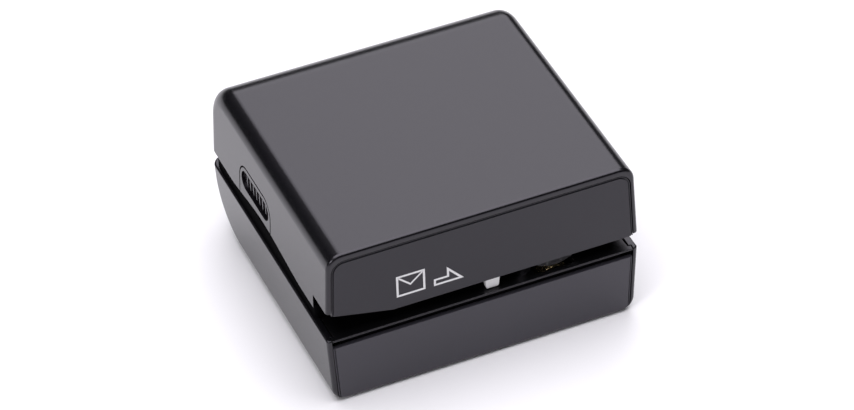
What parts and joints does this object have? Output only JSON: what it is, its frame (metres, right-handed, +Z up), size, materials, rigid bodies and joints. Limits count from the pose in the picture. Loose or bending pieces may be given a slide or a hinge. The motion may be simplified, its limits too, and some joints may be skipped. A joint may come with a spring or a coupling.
{
  "type": "electric letter opener",
  "caption": "Compact cube-shaped battery letter opener: black drafted shells, hinged top cover, front envelope slot with white start lever, feed wheel and rotary cutters.",
  "frame": {"origin": "middle of the rectangle the opener covers, on the surface it stands on", "axes": "+X the way the envelope travels, left to right as seen from the front; +Y from the front to the back; +Z up"},
  "size_m": [0.09, 0.0848, 0.0502],
  "materials": {
    "shell_black": "satin black moulded plastic, slightly glossy",
    "panel_black": "fine-grained black moulded plastic",
    "frame_black": "dark matte black moulded plastic",
    "white_plastic": "white acetal",
    "switch_body": "black switch housing",
    "feed_rubber": "soft black rubber tyre",
    "foot_rubber": "black rubber foot",
    "brass": "turned and knurled brass",
    "bushing_bronze": "sintered bronze",
    "steel": "turned bright steel",
    "blade_steel": "ground hardened steel",
    "plate_steel": "zinc-plated sheet steel",
    "motor_steel": "drawn plated steel can",
    "cap_plastic": "natural nylon end cap",
    "contact_nickel": "nickel-plated spring steel",
    "battery_sleeve": "plain dark plastic sleeve",
    "lead_red": "red insulated lead",
    "lead_black": "black insulated lead",
    "lead_yellow": "yellow insulated lead"
  },
  "bodies": {
    "base": {"base_front_plate": "panel_black", "base_shell": "shell_black", "battery_1": "battery_sleeve", "battery_2": "battery_sleeve", "battery_3": "battery_sleeve", "battery_4": "battery_sleeve", "battery_bay": "frame_black", "battery_contact_1": "contact_nickel", "battery_contact_2": "contact_nickel", "battery_contact_3": "contact_nickel", "battery_contact_4": "contact_nickel", "battery_spring_1": "contact_nickel", "battery_spring_2": "contact_nickel", "battery_spring_3": "contact_nickel", "battery_spring_4": "contact_nickel", "black_lead": "lead_black", "envelope_guide": "frame_black", "feed_front_bushing": "bushing_bronze", "feed_rear_bushing": "bushing_bronze", "foot_1": "foot_rubber", "foot_2": "foot_rubber", "foot_3": "foot_rubber", "foot_4": "foot_rubber", "frame_screws": "steel", "gear_pins": "steel", "gearbox_front_plate": "plate_steel", "gearbox_posts": "steel", "gearbox_rear_plate": "plate_steel", "gearbox_screws": "steel", "hinge_pins": "steel", "lever_pin": "steel", "middle_frame": "frame_black", "motor": "motor_steel", "motor_cap": "cap_plastic", "red_lead": "lead_red", "roller_front_bushing": "bushing_bronze", "roller_rear_bushing": "bushing_bronze", "slot_table": "frame_black", "start_switch": "switch_body", "yellow_lead": "lead_yellow"},
    "cover": {"top_cover": "shell_black", "front_panel": "panel_black"},
    "latch": {"latch_button": "shell_black"},
    "lever": {"start_lever": "white_plastic"},
    "arm": {"switch_arm": "steel"},
    "feed": {"feed_shaft": "steel", "feed_wheel": "feed_rubber", "feed_wheel_hub": "white_plastic", "upper_blade": "blade_steel", "drive_gear": "white_plastic"},
    "roller": {"roller_shaft": "steel", "feed_roller": "brass", "lower_blade": "blade_steel", "roller_gear": "white_plastic"},
    "second": {"second_gear": "white_plastic"},
    "first": {"first_gear": "white_plastic"},
    "rotor": {"motor_shaft": "steel", "motor_pinion": "brass"},
    "door": {"battery_door": "frame_black"}
  },
  "joints": [
    {"name": "cover_hinge", "type": "hinge", "parent": "base", "child": "cover", "pos_m": [0.0433, 0, 0.0244], "axis": [0, 1, 0], "range_deg": [0, 85]},
    {"name": "latch_press", "type": "slide", "parent": "cover", "child": "latch", "axis": [1, 0, 0], "range_m": [0, 0.0015], "stiffness_N_per_m": 400, "springref_m": -0.001},
    {"name": "lever_swing", "type": "hinge", "parent": "base", "child": "lever", "pos_m": [0.0031, -0.0388, 0.0321], "axis": [0, -1, 0], "range_deg": [0, 35], "stiffness_Nm_per_rad": 0.0006, "springref_deg": -17.19},
    {"name": "arm_swing", "type": "hinge", "parent": "base", "child": "arm", "pos_m": [0.0007, -0.0381, 0.0295], "axis": [0, -1, 0], "range_deg": [0, 16]},
    {"name": "feed_spin", "type": "hinge", "parent": "base", "child": "feed", "pos_m": [0.0214, -0.03, 0.0322], "axis": [0, 1, 0], "continuous": true},
    {"name": "roller_spin", "type": "hinge", "parent": "base", "child": "roller", "pos_m": [0.0214, -0.03, 0.01692], "axis": [0, 1, 0], "continuous": true},
    {"name": "second_spin", "type": "hinge", "parent": "base", "child": "second", "pos_m": [0.0092, -0.022, 0.03831], "axis": [0, 1, 0], "continuous": true},
    {"name": "first_spin", "type": "hinge", "parent": "base", "child": "first", "pos_m": [-0.00062, -0.02, 0.0364], "axis": [0, 1, 0], "continuous": true},
    {"name": "rotor_spin", "type": "hinge", "parent": "base", "child": "rotor", "pos_m": [-0.01059, -0.016, 0.03721], "axis": [0, 1, 0], "continuous": true},
    {"name": "door_hinge", "type": "hinge", "parent": "base", "child": "door", "pos_m": [-0.01375, -0.03055, 0.0014], "axis": [-1, 0, 0], "range_deg": [0, 90]}
  ],
  "couplings": [
    {"joint": "arm_swing", "follows": "lever_swing", "ratio": 0.45},
    {"joint": "roller_spin", "follows": "feed_spin", "ratio": -1.7647},
    {"joint": "second_spin", "follows": "feed_spin", "ratio": -2.5},
    {"joint": "first_spin", "follows": "feed_spin", "ratio": 7.5},
    {"joint": "rotor_spin", "follows": "feed_spin", "ratio": -22.5}
  ]
}
